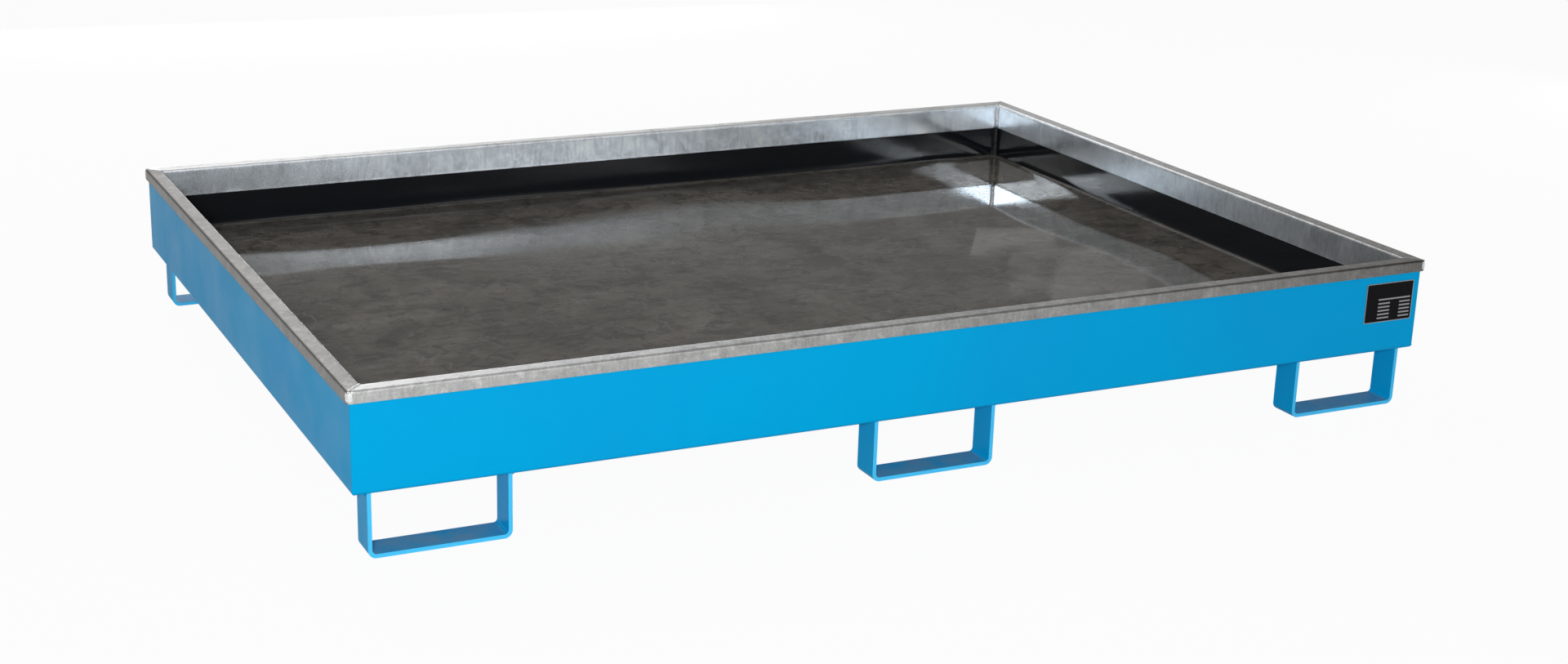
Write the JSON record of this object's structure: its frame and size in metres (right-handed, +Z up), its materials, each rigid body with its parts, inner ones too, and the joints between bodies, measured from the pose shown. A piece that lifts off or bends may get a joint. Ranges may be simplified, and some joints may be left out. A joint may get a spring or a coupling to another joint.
{
  "type": "spill containment pallet",
  "caption": "Shallow rectangular sump tray on looped flat-bar feet, with a loose plastic liner held by a folded cap frame hooked over its edges.",
  "frame": {"origin": "on the floor under the middle of the tray, level with the undersides of the feet", "axes": "+X along the long front side to the right, +Y to the back, +Z up"},
  "size_m": [1.8024, 1.3124, 0.2472],
  "materials": {
    "blue_paint": "gloss",
    "zinc": "galvanised",
    "zinc_weld": "rough",
    "black_pe": "gloss",
    "pe_weld": "satin",
    "plate": "printed"
  },
  "bodies": {
    "trough_body": {"trough": "blue_paint", "trough_weld_front_left": "blue_paint", "trough_weld_front_right": "blue_paint", "trough_weld_back_left": "blue_paint", "trough_weld_back_right": "blue_paint", "foot_front_left": "blue_paint", "foot_front_mid": "blue_paint", "foot_front_right": "blue_paint", "foot_back_left": "blue_paint", "foot_back_mid": "blue_paint", "foot_back_right": "blue_paint", "foot_welds_front_left": "blue_paint", "foot_welds_front_mid": "blue_paint", "foot_welds_front_right": "blue_paint", "foot_welds_back_left": "blue_paint", "foot_welds_back_mid": "blue_paint", "foot_welds_back_right": "blue_paint", "bearer_1": "blue_paint", "bearer_2": "blue_paint", "bearer_3": "blue_paint", "bearer_4": "blue_paint", "bearer_5": "blue_paint", "data_plate": "plate"},
    "liner_body": {"liner": "black_pe", "liner_weld_front_left": "pe_weld", "liner_weld_front_right": "pe_weld", "liner_weld_back_left": "pe_weld", "liner_weld_back_right": "pe_weld"},
    "cap_frame_body": {"rim_front": "zinc", "rim_back": "zinc", "rim_left": "zinc", "rim_right": "zinc", "rim_weld_front_left": "zinc_weld", "rim_weld_front_right": "zinc_weld", "rim_weld_back_left": "zinc_weld", "rim_weld_back_right": "zinc_weld"}
  },
  "joints": [
    {"name": "liner_lift", "type": "slide", "parent": "trough_body", "child": "liner_body", "axis": [0, 0, 1], "range_m": [0, 0.15]},
    {"name": "cap_lift", "type": "slide", "parent": "liner_body", "child": "cap_frame_body", "axis": [0, 0, 1], "range_m": [0, 0.1]}
  ]
}
